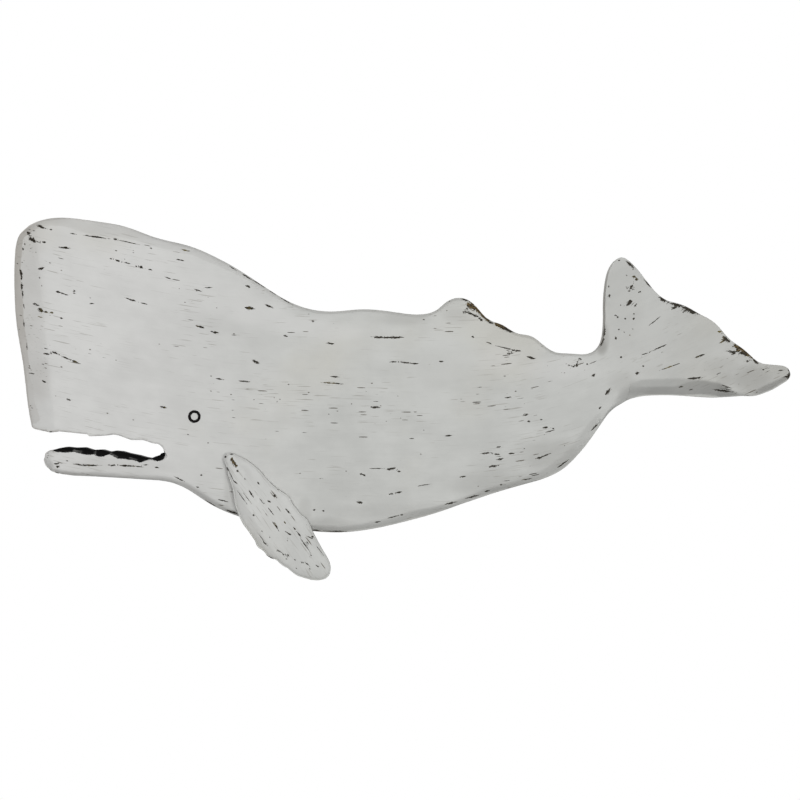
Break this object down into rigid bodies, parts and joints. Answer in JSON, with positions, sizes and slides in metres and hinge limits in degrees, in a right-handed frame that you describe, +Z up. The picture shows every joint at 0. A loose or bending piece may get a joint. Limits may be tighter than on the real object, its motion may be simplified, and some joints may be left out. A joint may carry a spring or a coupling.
{
  "type": "whale figurine",
  "caption": "Carved wooden sperm whale for a wall, with worn off-white paint, a cut-through mouth, an applied pectoral fin, an inlaid eye ring and D-ring hangers let into its flat back.",
  "frame": {"origin": "on the flat back, midway between the hinge lines of the two hanger rings", "axes": "+X from the snout towards the tail, +Y out of the back into the wall, +Z up"},
  "size_m": [0.999, 0.059, 0.4676],
  "materials": {
    "painted_wood": "matt off-white paint, chipped to the dark stained wood along the grain and edges",
    "black_ring": "matt black",
    "dowel_wood": "plain turned hardwood",
    "plated_steel": "zinc plated sheet",
    "ring_wire": "zinc plated wire",
    "screw_steel": "yellow zinc plated"
  },
  "bodies": {
    "whale": {"upper_board": "painted_wood", "middle_board": "painted_wood", "lower_board": "painted_wood", "tail_flukes": "painted_wood", "pectoral_fin": "painted_wood", "eye_ring": "black_ring", "upper_joint_dowels": "dowel_wood", "lower_joint_dowels": "dowel_wood", "tail_dowels": "dowel_wood", "fin_dowels": "dowel_wood", "left_hanger_strap": "plated_steel", "left_hanger_screws": "screw_steel", "right_hanger_strap": "plated_steel", "right_hanger_screws": "screw_steel"},
    "left_ring": {"left_hanger_ring": "ring_wire"},
    "right_ring": {"right_hanger_ring": "ring_wire"}
  },
  "joints": [
    {"name": "left_ring_swing", "type": "hinge", "parent": "whale", "child": "left_ring", "pos_m": [-0.2, -0.00767, 0], "axis": [-1, 0, 0], "range_deg": [0, 170]},
    {"name": "right_ring_swing", "type": "hinge", "parent": "whale", "child": "right_ring", "pos_m": [0.2, -0.00767, 0], "axis": [-1, 0, 0], "range_deg": [0, 170]}
  ]
}
